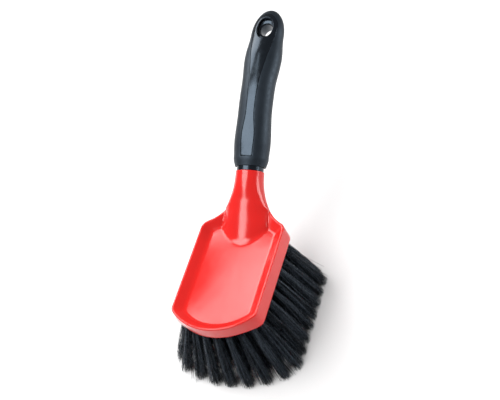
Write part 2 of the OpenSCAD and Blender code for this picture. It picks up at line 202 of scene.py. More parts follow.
class Shader:
    """A material's node tree with short ways to add to it"""

    def __init__(self, name):
        self.material = bpy.data.materials.new(name)
        self.material.use_nodes = True
        self.tree = self.material.node_tree
        self.shader = self.tree.nodes["Principled BSDF"]
        self.coords = self.tree.nodes.new("ShaderNodeTexCoord").outputs["Object"]

    def set(self, **values):
        for name, value in values.items():
            self.shader.inputs[name.replace("_", " ")].default_value = value

    def node(self, kind, **values):
        made = self.tree.nodes.new(kind)
        for name, value in values.items():
            if name in made.inputs:
                made.inputs[name].default_value = value
            else:
                setattr(made, name, value)
        return made

    def link(self, a, b):
        self.tree.links.new(a, b)

    def noise(self, size, detail=2.0, stretch=(1, 1, 1)):
        """Noise whose grains are size metres across"""
        mapping = self.node("ShaderNodeMapping")
        mapping.inputs["Scale"].default_value = stretch
        self.link(self.coords, mapping.inputs["Vector"])
        noise = self.node("ShaderNodeTexNoise", Scale=1 / size, Detail=detail)
        self.link(mapping.outputs["Vector"], noise.inputs["Vector"])
        return noise.outputs["Fac"]

    def spread(self, fac, low, high, socket):
        """Maps fac's middle range to low..high and feeds a socket of the shader"""
        ramp = self.node("ShaderNodeMapRange")
        ramp.inputs["From Min"].default_value = 0.3
        ramp.inputs["From Max"].default_value = 0.7
        ramp.inputs["To Min"].default_value = low
        ramp.inputs["To Max"].default_value = high
        self.link(fac, ramp.inputs["Value"])
        self.link(ramp.outputs["Result"], self.shader.inputs[socket])

    def tint(self, fac, a, b):
        """Mixes two colours by fac as the base colour"""
        ramp = self.node("ShaderNodeValToRGB")
        ramp.color_ramp.elements[0].position = 0.35
        ramp.color_ramp.elements[1].position = 0.65
        ramp.color_ramp.elements[0].color = a
        ramp.color_ramp.elements[1].color = b
        self.link(fac, ramp.inputs["Fac"])
        self.link(ramp.outputs["Color"], self.shader.inputs["Base Color"])

    def bump(self, fac, depth, strength=1.0, after=None):
        """Bump of depth metres from fac, on top of an earlier bump"""
        bump = self.node("ShaderNodeBump", Strength=strength, Distance=depth)
        self.link(fac, bump.inputs["Height"])
        if after is not None:
            self.link(after.outputs["Normal"], bump.inputs["Normal"])
        self.link(bump.outputs["Normal"], self.shader.inputs["Normal"])
        return bump


def material_red(colours):
    # Glossy moulded polypropylene: IOR 1.49, faint flow waviness, a little light scatters inside
    m = Shader("polypropylene_gloss_red")
    red = linear(colours.head)
    m.set(IOR=1.49, Subsurface_Weight=0.08, Subsurface_Scale=0.002, Specular_IOR_Level=0.5)
    m.shader.inputs["Subsurface Radius"].default_value = (1.0, 0.25, 0.2)
    m.tint(m.noise(0.03), scaled(red, 0.94), scaled(red, 1.0))
    m.spread(m.noise(0.006, 4), 0.13, 0.2, "Roughness")
    m.bump(m.noise(0.0012, 3), 0.000008, 0.6, m.bump(m.noise(0.012, 1), 0.00006))
    return m.material


def material_core(colours):
    # Glossy moulded black polypropylene: IOR 1.49; its reflections take a painted cool tint that stands
    # in for a bluish cast of the light
    m = Shader("polypropylene_gloss_black")
    black = linear(colours.core)
    m.set(IOR=1.49, Specular_Tint=PAINTED_COOL_REFLECTION_TINT)
    m.tint(m.noise(0.02), scaled(black, 0.85), scaled(black, 1.1))
    m.spread(m.noise(0.005, 4), 0.14, 0.24, "Roughness")
    m.bump(m.noise(0.0012, 3), 0.00001, 0.7, m.bump(m.noise(0.014, 1), 0.00005))
    return m.material


def material_grip(colours):
    # Satin thermoplastic elastomer with a fine spark-eroded grain: IOR 1.5; its reflections take a
    # painted cool tint that stands in for a bluish cast of the light
    m = Shader("elastomer_satin_black")
    grey = linear(colours.grip)
    m.set(IOR=1.5, Specular_Tint=PAINTED_COOL_REFLECTION_TINT)
    m.tint(m.noise(0.015, 3), scaled(grey, 0.8), scaled(grey, 1.15))
    m.spread(m.noise(0.003, 3), 0.42, 0.54, "Roughness")
    m.bump(m.noise(0.00045, 2), 0.00002, 0.5, m.bump(m.noise(0.008, 1), 0.00003))
    return m.material


def material_bristle(colours):
    # Drawn black polypropylene filament: IOR 1.49, long sheen along each filament; each filament's
    # brightness and specular level follow a random value per filament, a painted sheen on the lighter
    # filaments and painted shade on the darker ones
    m = Shader("polypropylene_filament_black")
    black = linear(colours.bristle)
    # painted reflection colour: the filaments' reflections take the painted cool tint
    m.set(IOR=1.49, Specular_Tint=PAINTED_COOL_REFLECTION_TINT)
    painted_sheen_and_shade = m.node("ShaderNodeAttribute", attribute_name="painted_sheen_and_shade").outputs["Fac"]
    # painted sheen and painted shade: the random per-filament value spreads the filaments from far darker
    # than their black to far lighter, standing in for sheen streaks and shaded gaps
    m.tint(painted_sheen_and_shade, scaled(black, 0.3), scaled(black, 5.0))
    m.spread(m.noise(0.002, 2, (1, 1, 0.2)), 0.2, 0.34, "Roughness")
    m.spread(painted_sheen_and_shade, 0.1, 1.0, "Specular IOR Level")
    m.bump(m.noise(0.0006, 2), 0.00001, 0.4)
    return m.material


def material_staple(colours):
    # Galvanised flat steel wire
    m = Shader("steel_galvanised_wire")
    grey = linear(colours.staple)
    m.set(Metallic=1.0)
    m.tint(m.noise(0.0008, 3), scaled(grey, 0.8), scaled(grey, 1.0))
    m.spread(m.noise(0.0006, 3), 0.3, 0.45, "Roughness")
    m.bump(m.noise(0.0004, 2), 0.00001, 0.5)
    return m.material


def material_floor(colours):
    # Matt painted studio floor
    m = Shader("studio_paint_matt_white")
    pale = linear(colours.floor)
    m.set(IOR=1.45)
    m.tint(m.noise(0.4, 2), scaled(pale, 0.985), scaled(pale, 1.0))
    m.spread(m.noise(0.05, 3), 0.75, 0.85, "Roughness")
    return m.material


# ---------------------------------------------------------------- geometry helpers


def smooth(t):
    t = min(max(t, 0.0), 1.0)
    return t * t * (3 - 2 * t)


def mix(a, b, t):
    return a + (b - a) * t


def soft_max(a, b, k):
    """The larger of two heights, with a fillet about k wide where they cross"""
    return max(a, b) + max(k - abs(a - b), 0.0) ** 2 / (4 * k)


def ellipse_drop(u):
    return math.sqrt(max(1 - u * u, 0.0))


def spaced(a, b, n, ends=True):
    return [a + (b - a) * i / n for i in range(n + (1 if ends else 0))]


def turns(sides):
    return [2 * math.pi * k / sides for k in range(sides)]


def ramp(x, stretch):
    """0 before a stretch given as (start, run), 1 after it, and smooth between"""
    return smooth((x - stretch[0]) / stretch[1])


class Layout:
    """Where the brush's own frame lies in the part's frame, and its shared derived sizes, in metres"""

    def __init__(self, scene):
        h, g, b = scene.brush_head, scene.brush_handle, scene.brush_bristles
        self.head, self.handle, self.bristles = h, g, b
        self.half = h.width / 2
        turn = h.shoulder_turn
        run = (self.half - h.neck_radius) / (1 - math.cos(turn))
        self.sweep_radius = run - h.shoulder_radius
        self.sweep_end = h.side_end + run * math.sin(turn)
        self.neck_end = self.sweep_end + h.neck_straight
        self.tan_tilt = math.tan(h.neck_tilt)
        self.upper_tilt = h.neck_tilt - g.bend_turn
        self.bend_radius = g.bend_length / g.bend_turn
        self.hang = g.length - g.hang_back
        self.tip = g.length - 0.026
        self.stand = h.height + b.length
        self.ring_gap = (self.half - b.inset) / 3
        self.block_end = h.side_end + b.block_tail
        self.front_reach = b.length * math.tan(b.lean_front) + 0.0038 - b.inset
        self.middle = (self.centre(g.length)[0] - self.front_reach) / 2

    def place(self, p):
        return (p[0] - self.middle, p[1], p[2] + self.stand)

    def tilt(self, s):
        g = self.handle
        return self.head.neck_tilt - g.bend_turn * min(max((s - g.bend_start) / g.bend_length, 0), 1)

    def centre(self, s):
        """Point (x, z) of the handle's centreline at s"""
        g, tilt, r = self.handle, self.head.neck_tilt, self.bend_radius
        x, z = self.neck_end, self.head.neck_rise
        a = min(s, g.bend_start)
        x, z = x + a * math.cos(tilt), z + a * math.sin(tilt)
        if s > g.bend_start:
            t = self.tilt(s)
            x += r * (math.sin(tilt) - math.sin(t))
            z += r * (math.cos(t) - math.cos(tilt))
        if s > g.bend_start + g.bend_length:
            a = s - g.bend_start - g.bend_length
            x, z = x + a * math.cos(self.upper_tilt), z + a * math.sin(self.upper_tilt)
        return x, z

    def on_handle(self, s, across, up):
        """A point at s along the handle, across to +Y and up at right angles to the centreline"""
        x, z = self.centre(s)
        t = self.tilt(s)
        return (x - up * math.sin(t), across, z + up * math.cos(t))

    def tilted_at_hang(self, p):
        """A point given as (along, across, up) from the hang hole's centre"""
        x, z = self.centre(self.hang)
        t = self.tilt(self.hang)
        return (
            x + p[0] * math.cos(t) - p[2] * math.sin(t),
            p[1],
            z + p[0] * math.sin(t) + p[2] * math.cos(t),
        )


def mesh_object(name, verts, faces, material, smooth_angle=40):
    """A new mesh object at the origin with outward normals"""
    mesh = bpy.data.meshes.new(name)
    mesh.from_pydata([tuple(v) for v in verts], [], faces)
    mesh.update()
    made = bpy.data.objects.new(name, mesh)
    bpy.context.collection.objects.link(made)
    mesh.materials.append(material)
    select_only(made)
    bpy.ops.object.mode_set(mode="EDIT")
    bpy.ops.mesh.select_all(action="SELECT")
    bpy.ops.mesh.normals_make_consistent(inside=False)
    bpy.ops.object.mode_set(mode="OBJECT")
    bpy.ops.object.shade_smooth_by_angle(angle=math.radians(smooth_angle))
    return made


def select_only(*objects):
    bpy.ops.object.select_all(action="DESELECT")
    for o in objects:
        o.select_set(True)
    bpy.context.view_layer.objects.active = objects[-1]


def apply_modifier(obj, kind, **values):
    select_only(obj)
    modifier = obj.modifiers.new(kind.title(), kind)
    for name, value in values.items():
        setattr(modifier, name, value)
    bpy.ops.object.modifier_apply(modifier=modifier.name)


def joined(name, objects):
    select_only(*objects)
    bpy.ops.object.join()
    made = bpy.context.view_layer.objects.active
    made.name = name
    made.data.name = name
    return made


def add_row(verts, points):
    """Adds points to verts and gives their vertex numbers"""
    start = len(verts)
    verts.extend(points)
    return list(range(start, len(verts)))


def strip(a, b, loop=False):
    """Quads between two rows of vertex numbers"""
    n = len(a)
    return [
        (a[i], a[(i + 1) % n], b[(i + 1) % n], b[i]) for i in range(n if loop else n - 1)
    ]


# ---------------------------------------------------------------- head


class HeadShape:
    """The head's outline and heights, in its own frame: X from the front edge, Z up from the rim"""

    COUNTS = (30, 10, 76, 12, 58, 5)
    # stretches along X over which one shape turns into the next, as (start, run)
    FRONT_FOOT = (0.004, 0.022)
    ARCH_TURN = (0.1095, 0.0185)
    FOOT_END = (0.110, 0.014)
    BOTTOM_TURN = (0.112, 0.015)
    ARCH_ROUND = (0.114, 0.022)
    GRID_TURN = (0.114, 0.012)
    RIM_END = (0.116, 0.01)
    SLIDE_TURN = (0.118, 0.028)
    BLEND_TURN = (0.12, 0.012)
    CREST_TURN = (0.128, 0.022)
    NECK_ALONE = 0.124
    LOW_CROWN = 0.00935
    CREST_SINK, CREST_SLOPE = 0.00025, 0.0436
    DIP_PLACE, DIP_REACH, DIP_HALF = 0.52, 0.05, 0.0315
    WALL_FILLET, RIM_FILLET, BLOCK_FILLET = 0.0016, 0.0005, 0.003
    NECK_FILLETS = (0.0022, 0.0008)

    def __init__(self, layout):
        self.at = layout
        self.h = layout.head

    def corner(self, d):
        h, half = self.h, self.at.half
        r = h.corner_radius - 0.12 * d
        cy = half - d - r
        cx = h.front_radius - math.sqrt((h.front_radius - d - r) ** 2 - cy * cy)
        return r, cx, cy, math.atan2(cy, cx - h.front_radius)

    def shoulder(self, d):
        h, at = self.h, self.at
        r = h.shoulder_radius - 0.45 * d
        cy = at.half - d - r
        sx, sy, big = at.sweep_end, h.neck_radius + at.sweep_radius, at.sweep_radius + d
        cx = sx - math.sqrt((big + r) ** 2 - (sy - cy) ** 2)
        return r, cx, cy, math.atan2(sy - cy, sx - cx), (sx, sy, big)

    def edge_point(self, segment, t, d):
        """Point of the outline moved in by d, at share t of one of its six segments"""
        h, at = self.h, self.at
        r, cx, cy, turn = self.corner(d)
        if segment == 0:
            a = mix(math.pi, turn, t)
            big = h.front_radius - d
            return h.front_radius + big * math.cos(a), big * math.sin(a)
        if segment == 1:
            a = mix(turn, math.pi / 2, t)
            return cx + r * math.cos(a), cy + r * math.sin(a)
        sr, sx, sy, stop, (wx, wy, wr) = self.shoulder(d)
        if segment == 2:
            return mix(cx, sx, t), at.half - d
        if segment == 3:
            a = mix(math.pi / 2, stop, t)
            return sx + sr * math.cos(a), sy + sr * math.sin(a)
        if segment == 4:
            a = mix(stop + math.pi, 1.5 * math.pi, t)
            return wx + wr * math.cos(a), wy + wr * math.sin(a)
        end = at.neck_end - 0.0004 * math.cos(h.neck_tilt)
        return mix(at.sweep_end, end, t), h.neck_radius - d

    def half_width(self, x):
        """Half width of the outline at x, from the sweep on"""
        h, at = self.h, self.at
        if x >= at.sweep_end:
            return h.neck_radius
        reach = max(at.sweep_radius**2 - (at.sweep_end - x) ** 2, 0)
        return min(h.neck_radius + at.sweep_radius - math.sqrt(reach), at.half)

    def axis(self, x):
        return self.h.neck_rise - (self.at.neck_end - x) * self.at.tan_tilt

    def crest(self, x):
        """Height of the neck's top line"""
        h = self.h
        start = -h.dish_depth - self.CREST_SINK
        line = start + (x - h.tongue_start) * (self.at.tan_tilt + self.CREST_SLOPE)
        full = self.axis(x) + h.neck_radius / math.cos(h.neck_tilt)
        return mix(line, full, ramp(x, self.CREST_TURN))

    def arch(self, x):
        """Height of the neck's sides and of its crown over them"""
        full = self.h.neck_radius / math.cos(self.h.neck_tilt)
        crown = mix(self.LOW_CROWN, full, ramp(x, self.ARCH_TURN))
        return self.crest(x) - crown, crown

    def arch_half(self, x):
        return min(self.h.tongue_half, self.half_width(x))

    def top(self, x, y, d):
        h = self.h
        along = max(1 - ((x - h.side_end * self.DIP_PLACE) / self.DIP_REACH) ** 2, 0)
        floor = -h.dish_depth - h.floor_dip * along * max(1 - (y / self.DIP_HALF) ** 2, 0)
        wall = -(d - h.rim) * h.dish_depth / h.wall_run
        z = -soft_max(-soft_max(wall, floor, self.WALL_FILLET), 0.0, self.RIM_FILLET)
        if d < h.rim_round:
            drop = h.rim_round * (1 - ellipse_drop(1 - d / h.rim_round))
            z -= drop * (1 - ramp(x, self.RIM_END))
        if x > h.tongue_start - 0.004:
            side, crown = self.arch(x)
            half = self.arch_half(x)
            u = min(abs(y) / half, 1.0)
            profile = mix(1 - u * u, ellipse_drop(u), ramp(x, self.ARCH_ROUND))
            neck = side + crown * profile if abs(y) <= half else -1.0
            if x > self.NECK_ALONE and abs(y) > half:
                neck = side
            blend = mix(*self.NECK_FILLETS, ramp(x, self.BLEND_TURN))
            z = soft_max(z, neck, blend) if neck > -0.5 else z
        return z

    def foot(self, x):
        """How far the wall's foot stands out from the rim"""
        front = mix(-self.h.tuck, self.h.flare, ramp(x, self.FRONT_FOOT))
        return front * (1 - ramp(x, self.FOOT_END))

    def bottom_edge(self, x):
        return mix(-self.h.height, self.arch(x)[0] - 0.0002, ramp(x, self.BOTTOM_TURN))

    def bottom(self, x, y, d):
        edge = self.bottom_edge(x)
        full = self.h.neck_radius / math.cos(self.h.neck_tilt)
        low = soft_max(self.axis(x) - full, -self.h.height, self.BLOCK_FILLET)
        half = max(self.half_width(x), 1e-4)
        return edge + (low - edge) * ellipse_drop(min(abs(y) / half, 1.0))

    def slid(self, x, y, z):
        """Slides a point along the neck's axis, so that its sections stand at right angles to it"""
        tilt = self.h.neck_tilt
        share = ramp(x, self.SLIDE_TURN)
        slide = share * (z - self.axis(x)) * math.sin(tilt)
        return (x - slide * math.cos(tilt), y, z - slide * math.sin(tilt))


def head_grid(shape, offsets, across, height, verts, spread=False):
    """Vertex numbers of a surface over the outline, row by row from the front edge to the neck.

    Each row has the rings' points at +Y, those straight across, and the rings' points at -Y."""

    def point(x, y, d):
        return shape.at.place(shape.slid(x, y, height(x, y, d)))

    rows = []
    most = len(offsets) - 1
    for segment, count in enumerate(shape.COUNTS):
        for i in range(0 if segment == 0 else 1, count + 1):
            t = i / count
            x0 = shape.edge_point(segment, t, 0.0)[0]
            share = ramp(x0, shape.GRID_TURN)
            half = shape.half_width(x0)
            ring = []
            for j, d in enumerate(offsets):
                neck_d = half * (1 - math.cos(math.radians(55) * j / most))
                d = mix(d, neck_d, share)
                x, y = shape.edge_point(segment, t, d - shape.foot(x0) if spread else d)
                ring.append((x, y, d))
            rows.append(ring)
    made = []
    for i, ring in enumerate(rows):
        right = add_row(verts, [point(x, y, d) for x, y, d in ring])
        if i == 0:
            made.append((right, [], right))
            continue
        left = add_row(verts, [point(x, -y, d) for x, y, d in ring])
        x, y, d = ring[-1]
        ys = [y * (1 - 2 * k / across) for k in range(1, across)]
        middle = add_row(verts, [point(x, v, max(d, 0.012)) for v in ys])
        made.append((right, middle, left))
    return made


def grid_faces(rows):
    faces = []
    for (ra, ma, la), (rb, mb, lb) in zip(rows, rows[1:]):
        faces += strip(ra, rb)
        faces += strip(lb, la)
        inner_b = [rb[-1], *mb, lb[-1]]
        if ma:
            faces += strip([ra[-1], *ma, la[-1]], inner_b)
        else:
            faces += [(ra[-1], inner_b[i], inner_b[i + 1]) for i in range(len(inner_b) - 1)]
    return faces


def build_head(layout, material):
    """One closed skin: dish and neck, the wall, the underside, and the socket in the neck's end"""
    shape = HeadShape(layout)
    h = layout.head
    verts = []
    mm = (0, 0.08, 0.25, 0.5, 0.8, 1.1, 1.4, 1.7, 2, 2.4, 3.2, 4.2, 5.4, 6.6, 7.5, 8.1, 8.7, 9.3, 10)
    top = head_grid(shape, [v * MM for v in mm], 80, shape.top, verts)
    mm = (1.2, 2, 3, 4, 5.2, 6.4, 7.8, 9.4, 11)
    under = head_grid(shape, [v * MM for v in mm], 16, shape.bottom, verts, spread=True)
    # the wall's straight rows, the share of its height that they take, and its foot's rounding
    steps, straight, foot_round = 9, 0.925, 0.0012
    walls = []
    index = 0
    for segment, count in enumerate(shape.COUNTS):
        for i in range(0 if segment == 0 else 1, count + 1):
            t = i / count
            x0 = shape.edge_point(segment, t, 0.0)[0]
            plain = 1 - ramp(x0, shape.FOOT_END)
            foot = shape.foot(x0)
            high = shape.top(x0, shape.edge_point(segment, t, 0.0)[1], 0.0)
            low = shape.bottom_edge(x0)
            right, left = [], []
            for k in range(1, steps + 3):
                if k <= steps:
                    f = (k / steps) * straight
                    out = foot * f
                else:
                    a = math.radians((k - steps) * 30)
                    f = straight + (1 - straight) * math.sin(a)
                    out = foot - foot_round * (1 - math.cos(a)) * plain
                x, y = shape.edge_point(segment, t, -out)
                z = mix(high, low, f)
                for side, row in ((1, right), (-1, left)):
                    if side < 0 and index == 0:
                        continue
                    verts.append(layout.place(shape.slid(x, side * y, z)))
                    row.append(len(verts) - 1)
            walls.append((right, left if index else right))
            index += 1
    faces = grid_faces(top) + [tuple(reversed(f)) for f in grid_faces(under)]
    columns = []
    for (tr, _, tl), (wr, wl), (ur, _, ul) in zip(top, walls, under):
        columns.append(([tr[0], *wr, ur[0]], [tl[0], *wl, ul[0]]))
    for (ra, la), (rb, lb) in zip(columns, columns[1:]):
        faces += strip(rb, ra) + strip(la, lb)
    # the neck's end: a rounded edge, a flat face and the socket
    (tr, tm, tl), (wr, wl), (ur, um, ul) = top[-1], walls[-1], under[-1]
    loop = [*tr, *tm, *reversed(tl), *wl, *ul, *reversed(um), *reversed(ur), *reversed(wr)]
    tilt = h.neck_tilt
    cx, cz = layout.neck_end, h.neck_rise
    angles = []
    for v in loop:
        x, y, z = verts[v]
        x, z = x + layout.middle - cx, z - layout.stand - cz
        angles.append(math.atan2(-x * math.sin(tilt) + z * math.cos(tilt), y))
    socket = layout.handle.spigot_radius + 0.0001
    depth = layout.handle.spigot_length + 0.0005
    rings = [
        (h.neck_radius - 0.00012, -0.00012), (h.neck_radius - 0.0004, 0.0),
        (socket + 0.0004, 0.0), (socket, -0.0004), (socket, -depth),
    ]
    previous = loop
    for radius, along in rings:
        points = []
        for a in angles:
            up = radius * math.sin(a)
            x = cx + along * math.cos(tilt) - up * math.sin(tilt)
            z = cz + along * math.sin(tilt) + up * math.cos(tilt)
            points.append(layout.place((x, radius * math.cos(a), z)))
        row = add_row(verts, points)
        faces += strip(previous, row, loop=True)
        previous = row
    x, z = cx - depth * math.cos(tilt), cz - depth * math.sin(tilt)
    (centre,) = add_row(verts, [layout.place((x, 0, z))])
    n = len(previous)
    faces += [(previous[i], previous[(i + 1) % n], centre) for i in range(n)]
    return mesh_object("head_shell", verts, faces, material, 50)


# ---------------------------------------------------------------- handle


class GripShape:
    """The grip's swept surface and the panel's outline on it"""

    SWELLS = (
        (0.02, 0.84, 0.88), (0.09, 0.96, 0.96), (0.2, 1, 1), (0.42, 0.93, 0.92),
        (0.6, 0.93, 0.93), (0.82, 1.04, 0.92), (1, 0.93, 0.78), (1.3, 0.93, 0.78),
    )

    def __init__(self, layout):
        self.at = layout
        self.g = layout.handle
        self.panel_from = self.g.collar_length + 0.008
        self.panel_to = layout.hang + self.g.hang_back * 0.7

    def swell(self, t, k):
        pairs = list(zip(self.SWELLS, self.SWELLS[1:]))
        a, b = next(((p, q) for p, q in pairs if t < q[0]), pairs[-1])
        return mix(a[k], b[k], smooth((t - a[0]) / (b[0] - a[0])))

    def halves(self, s):
        """Half width and half thickness of the grip at s"""
        t = s / self.at.tip
        nose = ellipse_drop(max(s - self.at.tip, 0) / (self.g.length - self.at.tip))
        width = self.swell(t, 1) * self.g.grip_width / 2 * nose
        height = self.swell(t, 2) * self.g.grip_height / 2 * nose
        return max(width, 0.0004), max(height, 0.0004)

    def panel_half(self, s):
        """Half width of the panel at s: a lower swell, a waist and an eye around the hang hole"""
        hang = self.at.hang
        lower, waist = hang * 0.23, hang * 0.4
        if s < lower:
            share = 0.44 + 0.06 * smooth((s - self.panel_from) / (lower - self.panel_from))
        elif s < waist:
            share = 0.5 - 0.18 * smooth((s - lower) / (waist - lower))
        elif s < hang:
            widening = ((s - waist) / (hang - waist)) ** 2.2
            share = 0.32 + (EYE - 0.32) * math.sin(math.pi / 2 * widening)
        else:
            share = EYE * ellipse_drop(min((s - hang) / (self.panel_to - hang), 1))
        return self.g.panel_width * share

    def panel_sink(self, s, y):
        """How far the panel's flatter crown lies under the grip's own surface"""
        w, h = self.halves(s)
        flat = 0.6 * (1 - smooth((s - 0.6 * self.at.hang) / (0.22 * self.at.hang)))
        edge = ellipse_drop(min(self.panel_half(s) / w, 1))
        return flat * h * max(ellipse_drop(min(abs(y) / w, 1)) - edge, 0)

    def surface(self, s, y, sink=0.0):
        """A point of the grip's upper surface at s and y, sunk by sink"""
        w, h = self.halves(s)
        return self.at.on_handle(s, y, h * ellipse_drop(min(abs(y) / w, 0.999)) - sink)


def build_sleeve(layout, material):
    """The soft skin: a swept sheet with the panel's window left open, thickened inwards"""
    shape = GripShape(layout)
    g = layout.handle
    start, end = g.collar_length, g.length
    low, nose = shape.panel_from, shape.panel_to
    stations = spaced(start, low, 8, False) + spaced(low, layout.hang, 96, False)
    eye, round_end = nose - layout.hang, end - layout.tip
    stations += [layout.hang + eye * math.sin(math.radians(a)) for a in range(0, 90, 5)]
    stations += spaced(nose, layout.tip + round_end * 0.9, 5)
    last = math.degrees(math.asin((stations[-1] - layout.tip) / round_end))
    stations += [
        layout.tip + round_end * math.sin(math.radians(a)) for a in spaced(last, 89, 9)[1:]
    ]
    lower_cols, window_cols = 34, 14
    verts, rows = [], []
    for s in stations:
        w, h = shape.halves(s)
        if low <= s <= nose:
            half = max(shape.panel_half(s), 0.00005)
        elif s < low:
            half = shape.panel_half(low)
        else:
            half = 0.00005
        if s > nose or s < low:
            fade = (s - nose) / 0.004 if s > nose else (low - s) / 0.006
            half = mix(half, w * 0.5, smooth(fade) * 0.8)
        edge = math.acos(min(half / w, 0.97))
        angles = [mix(-math.pi / 2, edge, i / lower_cols) for i in range(lower_cols)]
        angles += [mix(edge, math.pi - edge, i / window_cols) for i in range(window_cols)]
        angles += [mix(math.pi - edge, 1.5 * math.pi, i / lower_cols) for i in range(lower_cols)]
        ring = [layout.on_handle(s, w * math.cos(a), h * math.sin(a)) for a in angles]
        rows.append((s, add_row(verts, [layout.place(p) for p in ring])))
    faces = []
    for (sa, a), (sb, b) in zip(rows, rows[1:]):
        n = len(a)
        inside = sa >= low - 1e-9 and sb <= nose + 1e-9
        for i in range(n):
            if inside and lower_cols <= i < lower_cols + window_cols:
                continue
            j = (i + 1) % n
            faces.append((a[i], a[j], b[j], b[i]))
    faces.append(tuple(rows[-1][1]))
    sleeve = mesh_object("skin", verts, faces, material)
    select_only(sleeve)
    bpy.ops.object.mode_set(mode="EDIT")
    bpy.ops.mesh.select_all(action="SELECT")
    bpy.ops.mesh.remove_doubles(threshold=0.00002)
    bpy.ops.object.mode_set(mode="OBJECT")
    apply_modifier(sleeve, "SOLIDIFY", thickness=g.skin - 0.0003, offset=-1, use_rim=True)
    drill = lathe_cylinder(layout, g.boss_radius + 0.0002, -0.03, 0.0)
    apply_modifier(sleeve, "BOOLEAN", object=drill, operation="DIFFERENCE", solver="EXACT")
    bpy.data.objects.remove(drill)
    sharp = math.radians(50)
    apply_modifier(
        sleeve, "BEVEL", width=0.0005, segments=3, limit_method="ANGLE", angle_limit=sharp
    )
    select_only(sleeve)
    bpy.ops.object.shade_smooth_by_angle(angle=math.radians(40))
    return sleeve


def lathe_cylinder(layout, radius, low, high):
    """A plain cylinder along the hang hole's axis, from low to high of its centre"""
    tilt = layout.tilt(layout.hang)
    centre = Vector(layout.place(layout.tilted_at_hang((0, 0, (low + high) / 2))))
    bpy.ops.object.select_all(action="DESELECT")
    bpy.ops.mesh.primitive_cylinder_add(
        vertices=ROUND_SIDES, radius=radius, depth=high - low, location=centre, rotation=(0, -tilt, 0)
    )
    made = bpy.context.view_layer.objects.active
    bpy.ops.object.transform_apply(location=True, rotation=True, scale=True)
    return made


def panel_plan(layout, shape):
    """The panel's rows in (s, y): the long strip, then rings around the mouth of the hang hole"""
    g = layout.handle
    inset = g.groove
    split = layout.hang - g.mouth_half_length - 0.004
    cols = 24
    low = shape.panel_from + inset
    strip_rows = []
    for s in spaced(low, split, 90):
        half = shape.panel_half(s) - inset
        strip_rows.append([(s, half * (1 - 2 * k / cols)) for k in range(cols + 1)])
    # the outer loop of the eye: the strip's last row, then the outline around the nose
    outer = list(reversed(strip_rows[-1]))
    nose = shape.panel_to - inset
    rim = []
    for s in spaced(split, layout.hang, 16)[1:]:
        rim.append((s, shape.panel_half(s) - inset))
    for a in spaced(0, 90, 20)[1:]:
        s = layout.hang + (nose - layout.hang) * math.sin(math.radians(a))
        rim.append((s, (g.panel_width * EYE - inset) * math.cos(math.radians(a))))
    rim[-1] = (nose, 0.0)
    outer += rim + [(s, -y) for s, y in reversed(rim[:-1])]
    return strip_rows, outer


